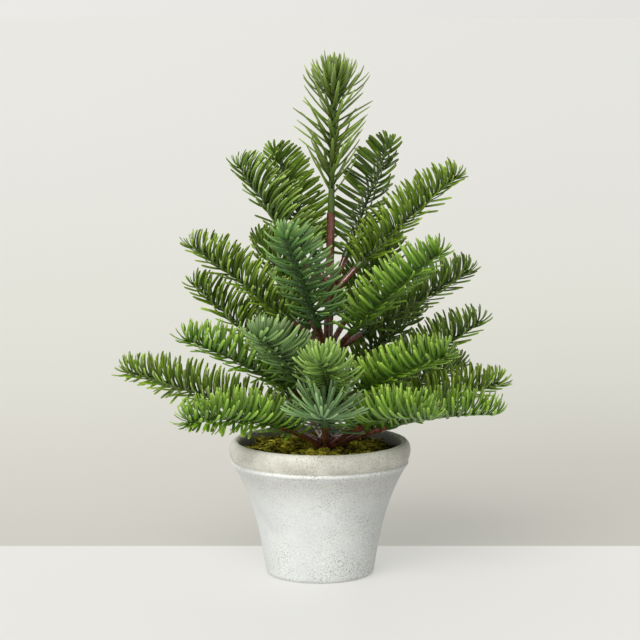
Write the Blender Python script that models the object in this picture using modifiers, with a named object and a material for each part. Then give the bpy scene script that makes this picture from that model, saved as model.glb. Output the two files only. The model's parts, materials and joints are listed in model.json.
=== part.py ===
# Artificial tabletop tree: a glazed pot, a leaning wire trunk in moulded sleeves, and fir
# sprays on stems that bend at the trunk.  Metres, +Z up, origin under the pot on the table.
import math

import bmesh
import bpy
from mathutils import Matrix, Vector

# Pot, turned about the Z axis
POT_HEIGHT = 0.116
POT_WALL = 0.0055
POT_FLOOR = 0.008
WAIST_RADIUS = 0.047         # just above the rounded foot
NECK_RADIUS = 0.074          # just below the rim band
FLARE_LINEAR = 0.0145        # the straight share of the flare from waist to neck
FOOT_ROUND = 0.005
RIM_RADIUS = 0.0778
RIM_BAND = 0.022
RIM_STEP = 0.0035            # slanted underside of the rim band
LIP_WIDTH = 0.0085
LIP_ROUND = 0.0038
POT_STEPS = 36

# What fills the pot
FILL_BELOW_RIM = 0.018
MOSS_EDGE = 0.005
MOSS_CROWN = 0.002
SEAT_GAP = 0.0004            # between pieces that rest on or butt against each other
FILL_GAP = 0.0005            # between the filling and the pot's wall

# Trunk: a steel wire in three moulded sleeves, leaning to +X
TRUNK_FOOT_X = 0.0047
TRUNK_LEAN = math.radians(1.25)
ROD_RADIUS = 0.00125
ROD_DEPTH = 0.060            # how far the wire goes down into the filler
BORE_CLEARANCE = 0.0003
SLEEVE_RADII = (0.0043, 0.0040, 0.0035)
SLEEVE_JOINTS = (0.076, 0.128)
TRUNK_TOP = 0.2115
COLLAR_PROUD = 0.0018        # the whorl collars stand this much out of the sleeve
COLLAR_MARGIN = 0.0015
COLLAR_CHAMFER = 0.002
TRUNK_STEPS = 16
HUB_HEIGHTS = {1: 0.154, 2: 0.100, 3: 0.051, 4: 0.016}

# Stems and their tenons
STEM_RADIUS = 0.0026
STEM_HINGE_GAP = 0.0004
STEM_RINGS = 3
TENON_RADIUS = 0.0013
TENON_LENGTH = 0.007
SOCKET_CLEARANCE = 0.0003

# Sprays: a round socket that opens into a flat, slightly hollow blade of foliage
SOCKET_RADIUS = 0.0032
SOCKET_LENGTH = 0.009
SPRAY_HALF_WIDTH = 0.0135
SPRAY_HALF_THICKNESS = 0.0038
SPRAY_LIFT = 0.0035          # needles stand up, so the blade's middle lies above the twig
SPRAY_SWELL = 0.028          # length over which the socket widens to the full blade
SPRAY_TIP = 0.30             # share of the blade that narrows to the tip
SPRAY_TIP_SCALE = 0.28
SPRAY_RINGS = 7
SPRAY_SIDES = 8

# Leader: the upright spray on top
LEADER_LENGTH = 0.130
LEADER_RADIUS = 0.0105
LEADER_SOCKET_RADIUS = 0.0031
LEADER_BARE = 0.016
LEADER_RINGS = 6
LEADER_SIDES = 12

# tier, side, azimuth from +X towards +Y, root above its hub, rise at root and at tip in
# degrees, stem length, whole length from the hinge to the tip
BRANCHES = (
    (1, "left", 173, -0.002, 57, 51, 0.022, 0.134),
    (1, "back_left", 128, 0.003, 53, 63, 0.022, 0.135),
    (1, "back_right", 52, 0.001, 56, 66, 0.022, 0.143),
    (1, "right", 13, -0.004, 48, 38, 0.022, 0.151),
    (2, "left", 176, 0.002, 37, 31, 0.028, 0.147),
    (2, "front", -112, 0.001, 51, 45, 0.022, 0.147),
    (2, "right_front", -36, -0.002, 46, 36, 0.020, 0.148),
    (2, "right", 22, -0.004, 30, 26, 0.026, 0.150),
    (2, "back_right", 62, 0.002, 37, 33, 0.026, 0.147),
    (2, "back_left", 120, 0.002, 36, 32, 0.026, 0.147),
    (3, "left_high", 163, 0.001, 40, 36, 0.028, 0.158),
    (3, "left_low", -155, -0.003, 34, 22, 0.028, 0.149),
    (3, "front_left", -118, 0.002, 34, 28, 0.028, 0.143),
    (3, "front", -86, -0.005, 29, 23, 0.028, 0.140),
    (3, "right_front", -39, -0.001, 30, 20, 0.028, 0.139),
    (3, "right", 10, 0.001, 23, 35, 0.028, 0.153),
    (3, "back_right", 52, 0.003, 32, 28, 0.028, 0.147),
    (3, "back_left", 118, 0.003, 32, 28, 0.028, 0.147),
    (4, "left", 171, 0.001, 23, 11, 0.050, 0.187),
    (4, "left_front", -137, -0.001, 29, -5, 0.050, 0.164),
    (4, "front", -92, -0.003, 30, 16, 0.040, 0.125),
    (4, "right_front", -52, -0.001, 36, -4, 0.050, 0.149),
    (4, "right_low", -20, -0.002, 27, 1, 0.050, 0.160),
    (4, "right", 14, 0.002, 20, 12, 0.050, 0.165),
    (4, "back_right", 46, 0.001, 19, 13, 0.050, 0.180),
    (4, "back", 108, 0.001, 20, 14, 0.050, 0.170),
)

GLAZE = (0.62, 0.60, 0.56)
FILLER = (0.30, 0.24, 0.18)
MOSS = (0.16, 0.15, 0.04)
STEEL = (0.45, 0.44, 0.42)
BARK = (0.10, 0.035, 0.022)
TIER_GREENS = {
    1: (0.06, 0.13, 0.035),
    2: (0.07, 0.16, 0.040),
    3: (0.08, 0.17, 0.045),
    4: (0.07, 0.15, 0.045),
}
LEADER_GREEN = (0.10, 0.19, 0.045)


def clear_scene():
    for thing in list(bpy.data.objects):
        bpy.data.objects.remove(thing)


def new_collection(name):
    collection = bpy.data.collections.new(name)
    bpy.context.scene.collection.children.link(collection)
    return collection


def principled(name, color, roughness, metallic=0.0):
    material = bpy.data.materials.new(name)
    material.use_nodes = True
    shader = material.node_tree.nodes["Principled BSDF"]
    shader.inputs["Base Color"].default_value = (*color, 1.0)
    shader.inputs["Roughness"].default_value = roughness
    shader.inputs["Metallic"].default_value = metallic
    return material


def add_object(name, data, collection, parent=None, color=None, roughness=0.6, metallic=0.0):
    thing = bpy.data.objects.new(name, data)
    collection.objects.link(thing)
    thing.parent = parent
    if color:
        data.materials.append(principled(name, color, roughness, metallic))
    return thing


def smooth(mesh, angle=35.0):
    mesh.shade_smooth()
    mesh.set_sharp_from_angle(angle=math.radians(angle))


def arc(center, radii, start, end, count):
    """Points (r, z) on an ellipse from one angle to another, in degrees."""
    points = []
    for i in range(count + 1):
        angle = math.radians(start + (end - start) * i / count)
        points.append((center[0] + radii[0] * math.cos(angle), center[1] + radii[1] * math.sin(angle)))
    return points


def turned(name, profile, steps, collection, parent=None, closed=False, **finish):
    """A solid turned about Z.  The profile goes up the inside and down the outer side."""
    mesh = bpy.data.meshes.new(name)
    edges = [(i, i + 1) for i in range(len(profile) - 1)]
    if closed:
        edges.append((len(profile) - 1, 0))
    mesh.from_pydata([(r, 0.0, z) for r, z in profile], edges, [])
    thing = add_object(name, mesh, collection, parent, **finish)
    screw = thing.modifiers.new("turn", "SCREW")
    screw.steps = steps
    screw.render_steps = steps
    screw.use_merge_vertices = True
    screw.merge_threshold = 0.00001
    screw.use_smooth_shade = True
    return thing


def cut(thing, cutter):
    boolean = thing.modifiers.new(cutter.name, "BOOLEAN")
    boolean.operation = "DIFFERENCE"
    boolean.object = cutter


def cutter_rod(name, radius, low, high, collection, parent):
    """An upright cylinder in the parent's frame, for boring."""
    mesh = bpy.data.meshes.new(name)
    shape = bmesh.new()
    place = Matrix.Translation((0.0, 0.0, (low + high) / 2))
    bmesh.ops.create_cone(shape, cap_ends=True, segments=TRUNK_STEPS, radius1=radius,
                          radius2=radius, depth=high - low, matrix=place)
    shape.to_mesh(mesh)
    shape.free()
    thing = add_object(name, mesh, collection, parent)
    thing.hide_render = True
    thing.display_type = "WIRE"
    return thing


def loft(name, rings, collection, parent, **finish):
    """A closed skin over rings of equal point counts, capped at the first and the last."""
    shape = bmesh.new()
    loops = [[shape.verts.new(point) for point in ring] for ring in rings]
    sides = len(rings[0])
    for near, far in zip(loops, loops[1:]):
        for i in range(sides):
            j = (i + 1) % sides
            shape.faces.new((near[i], near[j], far[j], far[i]))
    shape.faces.new(loops[0])
    shape.faces.new(loops[-1])
    bmesh.ops.recalc_face_normals(shape, faces=shape.faces)
    mesh = bpy.data.meshes.new(name)
    shape.to_mesh(mesh)
    shape.free()
    smooth(mesh)
    return add_object(name, mesh, collection, parent, **finish)


# Pot and filling

def body_radius(z):
    """Outer radius of the pot between its foot and its rim band."""
    neck = POT_HEIGHT - RIM_BAND
    t = (z - FOOT_ROUND) / (neck - FOOT_ROUND)
    flare_cubic = NECK_RADIUS - WAIST_RADIUS - FLARE_LINEAR
    return WAIST_RADIUS + FLARE_LINEAR * t + flare_cubic * t ** 3


def inner_radius(z):
    """The wall is even up to the neck, and runs straight from there to the lip."""
    neck = POT_HEIGHT - RIM_BAND
    if z <= neck:
        return body_radius(z) - POT_WALL
    share = (z - neck) / (POT_HEIGHT - LIP_ROUND - neck)
    neck_inside = body_radius(neck) - POT_WALL
    return neck_inside + (RIM_RADIUS - LIP_WIDTH - neck_inside) * share


def wall_heights(low, high, count):
    return [low + (high - low) * i / count for i in range(count + 1)]


def pot_profile():
    neck = POT_HEIGHT - RIM_BAND
    lip_inside = RIM_RADIUS - LIP_WIDTH
    floor_round = 2 * POT_WALL
    foot_radius = WAIST_RADIUS - 0.6 * FOOT_ROUND
    wall_low = POT_FLOOR + floor_round
    points = [(0.0, POT_FLOOR)]
    points += arc((inner_radius(wall_low) - floor_round, wall_low), (floor_round, floor_round), -90, 0, 3)
    points += [(inner_radius(z), z) for z in wall_heights(wall_low, neck, 6)[1:]]
    points += arc((lip_inside + LIP_ROUND, POT_HEIGHT - LIP_ROUND), (LIP_ROUND, LIP_ROUND), 180, 90, 4)
    points += arc((RIM_RADIUS - LIP_ROUND, POT_HEIGHT - LIP_ROUND), (LIP_ROUND, LIP_ROUND), 90, 0, 4)
    points.append((RIM_RADIUS, neck + 2 * RIM_STEP))
    points.append((RIM_RADIUS - RIM_STEP / 3, neck + RIM_STEP))
    points += [(body_radius(z), z) for z in reversed(wall_heights(FOOT_ROUND, neck, 8))]
    foot = arc((foot_radius, FOOT_ROUND), (WAIST_RADIUS - foot_radius, FOOT_ROUND), 0, -90, 3)
    points += foot[1:]
    points.append((0.0, 0.0))
    return points


def fill_top():
    return POT_HEIGHT - FILL_BELOW_RIM


def filler_profile():
    low = POT_FLOOR + 2 * POT_WALL
    neck = POT_HEIGHT - RIM_BAND
    heights = [fill_top()] + wall_heights(low, min(neck, fill_top() - FILL_GAP), 6)[::-1]
    points = [(0.0, fill_top())]
    points += [(inner_radius(z) - FILL_GAP, z) for z in heights]
    floor = POT_FLOOR + SEAT_GAP
    points.append((inner_radius(low) - 2 * POT_WALL, floor))
    points.append((0.0, floor))
    return points


def moss_profile():
    low = fill_top() + SEAT_GAP
    high = low + MOSS_EDGE
    edge = inner_radius(high) - FILL_GAP
    crown = [(edge * x, high + MOSS_CROWN * (1 - x * x)) for x in (0.0, 0.25, 0.5, 0.75, 1.0)]
    return crown + [(inner_radius(low) - FILL_GAP, low), (0.0, low)]


# Trunk, in the frame of its leaning axis.  Heights there count from fill_top().

def hub_span(tier):
    roots = [HUB_HEIGHTS[tier] + row[3] for row in BRANCHES if row[0] == tier]
    reach = STEM_RADIUS + COLLAR_MARGIN
    return min(roots) - reach, max(roots) + reach


def sleeve_index(height):
    return sum(height > joint for joint in SLEEVE_JOINTS)


def collar_radius(tier):
    return SLEEVE_RADII[sleeve_index(HUB_HEIGHTS[tier])] + COLLAR_PROUD


def sleeve_profile(index, low, high):
    radius = SLEEVE_RADII[index]
    bore = ROD_RADIUS + BORE_CLEARANCE
    outer = [(radius, high)]
    for tier in sorted(HUB_HEIGHTS):
        if sleeve_index(HUB_HEIGHTS[tier]) != index:
            continue
        bottom, top = hub_span(tier)
        bottom = max(bottom, low + COLLAR_CHAMFER)
        outer += [(radius, top + COLLAR_CHAMFER), (collar_radius(tier), top)]
        outer += [(collar_radius(tier), bottom), (radius, bottom - COLLAR_CHAMFER / 2)]
    return [(bore, low), (bore, high)] + outer + [(radius, low)]


def make_trunk(collection, axis):
    cuts = (SEAT_GAP, *SLEEVE_JOINTS, TRUNK_TOP)
    for index, name in enumerate(("trunk_lower", "trunk_middle", "trunk_upper")):
        low = cuts[index] + (SEAT_GAP if index else 0.0)
        profile = sleeve_profile(index, low, cuts[index + 1])
        turned(name, profile, TRUNK_STEPS, collection, axis, closed=True, color=BARK, roughness=0.55)
    rod = bpy.data.curves.new("trunk_rod", "CURVE")
    rod.dimensions = "3D"
    rod.bevel_depth = ROD_RADIUS
    rod.bevel_resolution = 2
    rod.use_fill_caps = True
    line = rod.splines.new("POLY")
    line.points.add(1)
    line.points[0].co = (0.0, 0.0, -ROD_DEPTH, 1.0)
    line.points[1].co = (0.0, 0.0, TRUNK_TOP - SEAT_GAP, 1.0)
    add_object("trunk_rod", rod, collection, axis, color=STEEL, roughness=0.35, metallic=1.0)


# Branches, each in the frame of its hinge: X outwards, Z up

def branch_name(row):
    return f"tier{row[0]}_{row[1]}"


def along(row, s):
    """Point and direction at a length s from the hinge, on an arc in the XZ plane."""
    start = math.radians(row[4])
    if s <= 0:
        return Vector((s * math.cos(start), 0.0, s * math.sin(start))), Vector((math.cos(start), 0.0, math.sin(start)))
    rate = math.radians(row[5] - row[4]) / row[7]
    angle = start + rate * s
    if abs(rate) < 1e-6:
        point = Vector((s * math.cos(start), 0.0, s * math.sin(start)))
    else:
        point = Vector((math.sin(angle) - math.sin(start), 0.0, math.cos(start) - math.cos(angle))) / rate
    return point, Vector((math.cos(angle), 0.0, math.sin(angle)))


def make_stem(row, collection, hinge):
    """A round stem with a ball end at the hinge and a tenon at the far end."""
    length = row[6]
    stations = [(-0.92, 0.4), (-0.6, 0.8), (0.0, 1.0)]
    stations = [(share * STEM_RADIUS, scale) for share, scale in stations]
    stations += [(length * i / STEM_RINGS, 1.0) for i in range(1, STEM_RINGS + 1)]
    tenon = TENON_RADIUS / STEM_RADIUS
    stations += [(length + TENON_RADIUS / 10, tenon), (length + TENON_LENGTH, tenon)]
    curve = bpy.data.curves.new(branch_name(row) + "_stem", "CURVE")
    curve.dimensions = "3D"
    curve.twist_mode = "Z_UP"
    curve.bevel_depth = STEM_RADIUS
    curve.bevel_resolution = 2
    curve.use_fill_caps = True
    line = curve.splines.new("POLY")
    line.points.add(len(stations) - 1)
    for point, (s, scale) in zip(line.points, stations):
        point.co = (*along(row, s)[0], 1.0)
        point.radius = scale
    add_object(curve.name, curve, collection, hinge, color=BARK, roughness=0.5)


def ring(row, s, half_width, half_thickness, lift, sides):
    center, forward = along(row, s)
    side = Vector((0.0, 1.0, 0.0))
    up = side.cross(forward) * -1.0
    points = []
    for i in range(sides):
        angle = 2 * math.pi * (i + 0.5) / sides
        across = side * half_width * math.cos(angle)
        points.append(center + across + up * (lift + half_thickness * math.sin(angle)))
    return points


def ease(t):
    t = min(max(t, 0.0), 1.0)
    return t * t * (3 - 2 * t)


def make_spray(row, collection, hinge):
    """Starts at the floor of the socket, turns at its mouth and ends at the spray's tip."""
    mouth = row[6] + SEAT_GAP
    end = row[7]
    bore = TENON_RADIUS + SOCKET_CLEARANCE
    bore_floor = row[6] + TENON_LENGTH + SEAT_GAP
    swell_start = mouth + SOCKET_LENGTH
    blade = end - swell_start
    tip_length = SPRAY_TIP * blade
    round_ring = [(bore_floor, bore), (mouth, bore), (mouth, SOCKET_RADIUS), (swell_start, SOCKET_RADIUS)]
    rings = [ring(row, s, r, r, 0.0, SPRAY_SIDES) for s, r in round_ring]
    for i in range(1, SPRAY_RINGS + 1):
        s = swell_start + blade * i / SPRAY_RINGS
        grow = ease((s - swell_start) / SPRAY_SWELL)
        near_tip = max(0.0, s - (end - tip_length)) / tip_length
        narrow = 1.0 - (1.0 - SPRAY_TIP_SCALE) * near_tip ** 2
        half_width = (SOCKET_RADIUS + (SPRAY_HALF_WIDTH - SOCKET_RADIUS) * grow) * narrow
        half_thick = (SOCKET_RADIUS + (SPRAY_HALF_THICKNESS - SOCKET_RADIUS) * grow) * narrow
        rings.append(ring(row, s, half_width, half_thick, SPRAY_LIFT * grow, SPRAY_SIDES))
    loft(branch_name(row) + "_spray", rings, collection, hinge, color=TIER_GREENS[row[0]], roughness=0.5)


def make_branch(row, collection, axis):
    azimuth = math.radians(row[2])
    reach = collar_radius(row[0]) + STEM_RADIUS + STEM_HINGE_GAP
    hinge = add_object(branch_name(row) + "_hinge", None, collection, axis)
    hinge.location = (reach * math.cos(azimuth), reach * math.sin(azimuth), HUB_HEIGHTS[row[0]] + row[3])
    hinge.rotation_euler = (0.0, 0.0, azimuth)
    make_stem(row, collection, hinge)
    make_spray(row, collection, hinge)


def make_leader(collection, axis):
    """Its ball-ended socket bends on the trunk's top, about the hinge's Y axis."""
    hinge = add_object("leader_hinge", None, collection, axis)
    hinge.location = (0.0, 0.0, TRUNK_TOP + SEAT_GAP + LEADER_SOCKET_RADIUS)
    stations = [(-0.92, 0.4), (-0.6, 0.8), (0.0, 1.0)]
    profile = [(LEADER_SOCKET_RADIUS * scale, LEADER_SOCKET_RADIUS * z) for z, scale in stations]
    profile.append((LEADER_SOCKET_RADIUS, LEADER_BARE))
    foliage = LEADER_LENGTH - LEADER_BARE
    for i in range(1, LEADER_RINGS + 1):
        t = i / LEADER_RINGS
        swell = math.sin(math.pi * min(1.0, 0.12 + 0.76 * t)) ** 0.5
        profile.append((LEADER_RADIUS * swell, LEADER_BARE + foliage * t))
    bottom = (0.0, -LEADER_SOCKET_RADIUS)
    profile = [(0.0, LEADER_LENGTH)] + profile[::-1] + [bottom]
    turned("leader_spray", profile, LEADER_SIDES, collection, hinge, color=LEADER_GREEN, roughness=0.5)


def make_pot_and_filling(collection, cutters, axis):
    turned("pot", pot_profile(), POT_STEPS, collection, color=GLAZE, roughness=0.6)
    filler = turned("filler_plug", filler_profile(), POT_STEPS, collection, color=FILLER, roughness=0.9)
    moss = turned("moss_layer", moss_profile(), POT_STEPS, collection, color=MOSS, roughness=1.0)
    wire_hole = cutter_rod("wire_hole", ROD_RADIUS + BORE_CLEARANCE, -ROD_DEPTH - SEAT_GAP, POT_HEIGHT,
                           cutters, axis)
    trunk_hole = cutter_rod("trunk_hole", collar_radius(4) + FILL_GAP, -MOSS_EDGE, POT_HEIGHT, cutters, axis)
    cut(filler, wire_hole)
    cut(moss, trunk_hole)


def main():
    clear_scene()
    tree = new_collection("tabletop_tree")
    cutters = new_collection("cutters")
    axis = add_object("trunk_axis", None, tree)
    axis.location = (TRUNK_FOOT_X, 0.0, fill_top())
    axis.rotation_euler = (0.0, TRUNK_LEAN, 0.0)
    make_pot_and_filling(tree, cutters, axis)
    make_trunk(tree, axis)
    for row in BRANCHES:
        make_branch(row, tree, axis)
    make_leader(tree, axis)


main()
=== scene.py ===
import json
import math
import random

import bpy
from mathutils import Matrix, Vector, noise


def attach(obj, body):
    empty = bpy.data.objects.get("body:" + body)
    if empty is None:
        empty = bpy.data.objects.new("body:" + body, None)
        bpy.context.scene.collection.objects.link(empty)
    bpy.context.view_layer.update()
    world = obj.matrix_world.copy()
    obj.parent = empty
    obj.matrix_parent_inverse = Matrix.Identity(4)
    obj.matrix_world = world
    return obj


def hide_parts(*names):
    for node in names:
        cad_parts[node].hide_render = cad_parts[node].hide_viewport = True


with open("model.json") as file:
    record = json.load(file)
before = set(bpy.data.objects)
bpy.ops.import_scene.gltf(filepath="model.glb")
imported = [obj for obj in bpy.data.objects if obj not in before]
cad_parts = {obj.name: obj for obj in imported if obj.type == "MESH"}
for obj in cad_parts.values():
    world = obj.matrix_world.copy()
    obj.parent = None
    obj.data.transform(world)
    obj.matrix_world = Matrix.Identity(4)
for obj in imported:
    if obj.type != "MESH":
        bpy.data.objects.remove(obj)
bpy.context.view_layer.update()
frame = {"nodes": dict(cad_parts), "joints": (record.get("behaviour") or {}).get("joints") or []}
bpy.ops.object.select_all(action="DESELECT")
random.seed(11)
print("frame loaded:", len(frame["nodes"]), "nodes")


# small helpers for materials and meshes

def newMaterial(name, roughness, **fixed):
    made = bpy.data.materials.new(name)
    made.use_nodes = True
    shader = made.node_tree.nodes["Principled BSDF"]
    shader.inputs["Roughness"].default_value = roughness
    for socket, value in fixed.items():
        shader.inputs[socket.replace("_", " ")].default_value = value
    return made, made.node_tree, shader


def addNode(tree, kind, inputs=None, **settings):
    node = tree.nodes.new("ShaderNode" + kind)
    for key, value in settings.items():
        setattr(node, key, value)
    for key, value in (inputs or {}).items():
        if isinstance(value, bpy.types.NodeSocket):
            tree.links.new(value, node.inputs[key])
        else:
            node.inputs[key].default_value = value
    return node


def attribute(tree, name):
    return addNode(tree, "Attribute", attribute_name=name).outputs["Fac"]


def ramp(tree, value, stops):
    node = addNode(tree, "ValToRGB", {"Fac": value})
    points = node.color_ramp.elements
    while len(points) < len(stops):
        points.new(0.5)
    for point, (place, color) in zip(points, stops):
        point.position = place
        point.color = (*color, 1.0) if len(color) == 3 else color
    return node.outputs["Color"]


def grey(value):
    return (value, value, value)


def mixColor(tree, factor, first, second, blend="MIX"):
    node = tree.nodes.new("ShaderNodeMix")
    node.data_type = "RGBA"
    node.blend_type = blend
    for socket, value in zip((node.inputs[0], node.inputs[6], node.inputs[7]), (factor, first, second)):
        if isinstance(value, bpy.types.NodeSocket):
            tree.links.new(value, socket)
        elif isinstance(value, tuple):
            socket.default_value = (*value, 1.0)
        else:
            socket.default_value = value
    return node.outputs[2]


def noiseOf(tree, place, scale, detail=3.0, roughness=0.5):
    settings = {"Vector": place, "Scale": scale, "Detail": detail, "Roughness": roughness}
    node = addNode(tree, "TexNoise", settings)
    return node.outputs["Fac"]


def rangeOf(tree, value, low, high, toLow=0.0, toHigh=1.0):
    settings = {"Value": value, "From Min": low, "From Max": high, "To Min": toLow, "To Max": toHigh}
    return addNode(tree, "MapRange", settings).outputs["Result"]


def mathOf(tree, operation, first, second):
    return addNode(tree, "Math", {0: first, 1: second}, operation=operation).outputs[0]


def scaleColor(tree, color, share):
    return addNode(tree, "VectorMath", {0: color, "Scale": share}, operation="SCALE").outputs[0]


def bumpOf(tree, shader, height, strength, distance):
    node = addNode(tree, "Bump", {"Height": height, "Strength": strength, "Distance": distance})
    tree.links.new(node.outputs["Normal"], shader.inputs["Normal"])
    return node


def objectPlace(tree):
    return addNode(tree, "TexCoord").outputs["Object"]


def joinAll(things, name):
    bpy.ops.object.select_all(action="DESELECT")
    for thing in things:
        thing.select_set(True)
    bpy.context.view_layer.objects.active = things[0]
    bpy.ops.object.join()
    made = bpy.context.object
    made.name = name
    made.data.name = name
    return made


def dress(piece, material, body, slot, *replaced):
    piece.data.materials.clear()
    piece.data.materials.append(material)
    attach(piece, body)
    if replaced:
        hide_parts(*replaced)


smoothUnder = {"turned": 40, "tube": 50}   # degrees between faces


def turnPiece(name, outline, sides):
    radius, height = outline[0]
    bpy.ops.object.select_all(action="DESELECT")
    bpy.ops.mesh.primitive_circle_add(vertices=sides, radius=radius, fill_type="NGON",
                                      location=(0, 0, height))
    bpy.ops.object.mode_set(mode="EDIT")
    bpy.ops.mesh.select_all(action="SELECT")
    for nextRadius, nextHeight in outline[1:]:
        bpy.ops.mesh.extrude_region_move(TRANSFORM_OT_translate={"value": (0, 0, nextHeight - height)})
        share = nextRadius / radius
        bpy.ops.transform.resize(value=(share, share, 1), center_override=(0, 0, nextHeight))
        radius, height = nextRadius, nextHeight
    bpy.ops.mesh.select_all(action="SELECT")
    bpy.ops.mesh.normals_make_consistent(inside=False)
    bpy.ops.object.mode_set(mode="OBJECT")
    made = bpy.context.object
    made.name = name
    bpy.ops.object.transform_apply(location=True, rotation=True, scale=True)
    bpy.ops.object.shade_smooth_by_angle(angle=math.radians(smoothUnder["turned"]))
    return made


def tubeAlong(name, points, radii, sides):
    bpy.ops.object.select_all(action="DESELECT")
    bpy.ops.curve.primitive_nurbs_path_add()
    made = bpy.context.object
    path = made.data
    path.splines.clear()
    spline = path.splines.new("POLY")
    spline.points.add(len(points) - 1)
    for point, place, radius in zip(spline.points, points, radii):
        point.co = (*place, 1.0)
        point.radius = radius
    path.dimensions = "3D"
    path.twist_mode = "Z_UP"
    path.bevel_depth = 1.0
    path.bevel_resolution = max(0, sides // 2 - 2)
    path.use_fill_caps = True
    bpy.ops.object.convert(target="MESH")
    made = bpy.context.object
    bpy.ops.object.mode_set(mode="EDIT")
    bpy.ops.mesh.select_all(action="SELECT")
    bpy.ops.mesh.remove_doubles(threshold=0.00001)
    bpy.ops.mesh.normals_make_consistent(inside=False)
    bpy.ops.object.mode_set(mode="OBJECT")
    bpy.ops.object.shade_smooth_by_angle(angle=math.radians(smoothUnder["tube"]))
    made.name = name
    return made


def wobble(reach):
    return random.uniform(-reach, reach)


def between(ends, share):
    return ends[0] + (ends[1] - ends[0]) * share


def leaning(forward, outward, degrees):
    tilt = math.radians(degrees)
    return forward * math.cos(tilt) + outward * math.sin(tilt)


def setAttribute(mesh, name, values):
    layer = mesh.attributes.get(name) or mesh.attributes.new(name, "FLOAT", "POINT")
    layer.data.foreach_set("value", values)


# camera, light and floor

camera = {
    "aim": (0.0, 0.0, 0.2197),      # metres
    "distance": 2.0,
    "pitch": 7.5,                   # degrees above the horizon
    "lens": 131.6,                  # mm
    "sensor": 36.0,
}

studio = {
    "worldTint": (1.0, 0.99, 0.955),
    "worldLevel": 0.61,             # brightness of the sky straight up
    "worldSlope": (-0.22, 0.195, 0.0),  # brighter to the left and behind, darker to the right and in front
    "keyTurn": (45, 0, -22),        # degrees, from upper left in front
    "keyStrength": 2.5,
    "keySpread": 38,                # degrees, for soft shadows
    "keyTint": (1.0, 0.985, 0.96),
    "floorSize": 400.0,
    "tableTone": (0.805, 0.80, 0.77),
    # tone of the backdrop from its near edge, 0, to the horizon, 1: painted shade, darker at its foot and
    # lighter towards the horizon
    "behind": ((0.0, (0.575, 0.566, 0.513)), (0.165, (0.617, 0.604, 0.547)), (0.314, (0.681, 0.681, 0.619)),
               (0.463, (0.717, 0.721, 0.660)), (0.65, (0.736, 0.740, 0.698)), (0.80, (0.745, 0.745, 0.709))),
    "floorGlow": 0.47,              # share of the tone the floor gives off by itself, for faint shadows
    "floorShare": 0.44,
    "tableEnd": 0.097,              # metres behind the pot, where the tone turns
    "edgeBlend": 0.002,
    "falloff": 1.983,               # metres, sets how soon the backdrop's tone levels off
    # painted shade on the backdrop: how far across it turns darker to the right and lighter to the left, and
    # how strongly from its near edge to the horizon
    "sideReach": 0.11,
    "sideShadeShare": ((0.0, 0.040), (0.165, 0.070), (0.33, 0.035), (0.50, 0.010), (1.0, 0.016)),
}


def aimFrom(spot, target):
    return (Vector(target) - Vector(spot)).to_track_quat("-Z", "Y").to_euler()


def addCamera():
    pitch = math.radians(camera["pitch"])
    aim = Vector(camera["aim"])
    spot = aim + camera["distance"] * Vector((0.0, -math.cos(pitch), math.sin(pitch)))
    bpy.ops.object.camera_add(location=spot, rotation=aimFrom(spot, aim))
    made = bpy.context.object
    made.data.lens = camera["lens"]
    made.data.sensor_width = camera["sensor"]
    bpy.context.scene.camera = made


def addLights():
    world = bpy.data.worlds.new("studioWorld")
    bpy.context.scene.world = world
    world.use_nodes = True
    tree = world.node_tree
    background = tree.nodes["Background"]
    background.inputs["Color"].default_value = (*studio["worldTint"], 1.0)
    direction = addNode(tree, "TexCoord").outputs["Generated"]
    slope = addNode(tree, "VectorMath", {0: direction, 1: studio["worldSlope"]}, operation="DOT_PRODUCT")
    glow = mathOf(tree, "ADD", slope.outputs["Value"], studio["worldLevel"])
    tree.links.new(glow, background.inputs["Strength"])
    turn = [math.radians(angle) for angle in studio["keyTurn"]]
    bpy.ops.object.light_add(type="SUN", location=(-1.0, -1.0, 2.0), rotation=turn)
    key = bpy.context.object.data
    key.energy = studio["keyStrength"]
    key.angle = math.radians(studio["keySpread"])
    key.color = studio["keyTint"]


def addFloor():
    size = studio["floorSize"]
    bpy.ops.mesh.primitive_plane_add(size=size)
    floor = bpy.context.object
    floor.name = "studioFloor"
    material, tree, shader = newMaterial("paleFloor", 0.6)
    place = addNode(tree, "SeparateXYZ", {"Vector": objectPlace(tree)})
    reach = mathOf(tree, "ADD", place.outputs["Y"], studio["falloff"])
    close = mathOf(tree, "DIVIDE", 1.0, reach)
    away = rangeOf(tree, close, 1.0 / (studio["tableEnd"] + studio["falloff"]), 0.0)
    # painted shade: the backdrop darker at its foot, lighter towards the horizon
    behind = ramp(tree, away, studio["behind"])
    # painted shade: the backdrop's tone scaled darker towards the right and lighter towards the left
    across = mathOf(tree, "MULTIPLY", place.outputs["X"], close)
    across = rangeOf(tree, across, -studio["sideReach"], studio["sideReach"], 1.0, -1.0)
    sideShadeAmount = ramp(tree, away, [(spot, grey(share)) for spot, share in studio["sideShadeShare"]])
    lift = mathOf(tree, "ADD", mathOf(tree, "MULTIPLY", across, sideShadeAmount), 1.0)
    behind = scaleColor(tree, behind, lift)
    edge = studio["edgeBlend"]
    end = rangeOf(tree, place.outputs["Y"], studio["tableEnd"] - edge, studio["tableEnd"] + edge)
    tone = mixColor(tree, end, studio["tableTone"], behind)
    share = mixColor(tree, 1.0, tone, grey(studio["floorShare"]), "MULTIPLY")
    tree.links.new(share, shader.inputs["Base Color"])
    tree.links.new(tone, shader.inputs["Emission Color"])
    shader.inputs["Emission Strength"].default_value = studio["floorGlow"]
    floor.data.materials.append(material)


addCamera()
addLights()
addFloor()
bpy.context.scene.view_settings.view_transform = "Standard"
print("camera, light and floor")


# pot, drawn up from its underside over the rim and down inside

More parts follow.
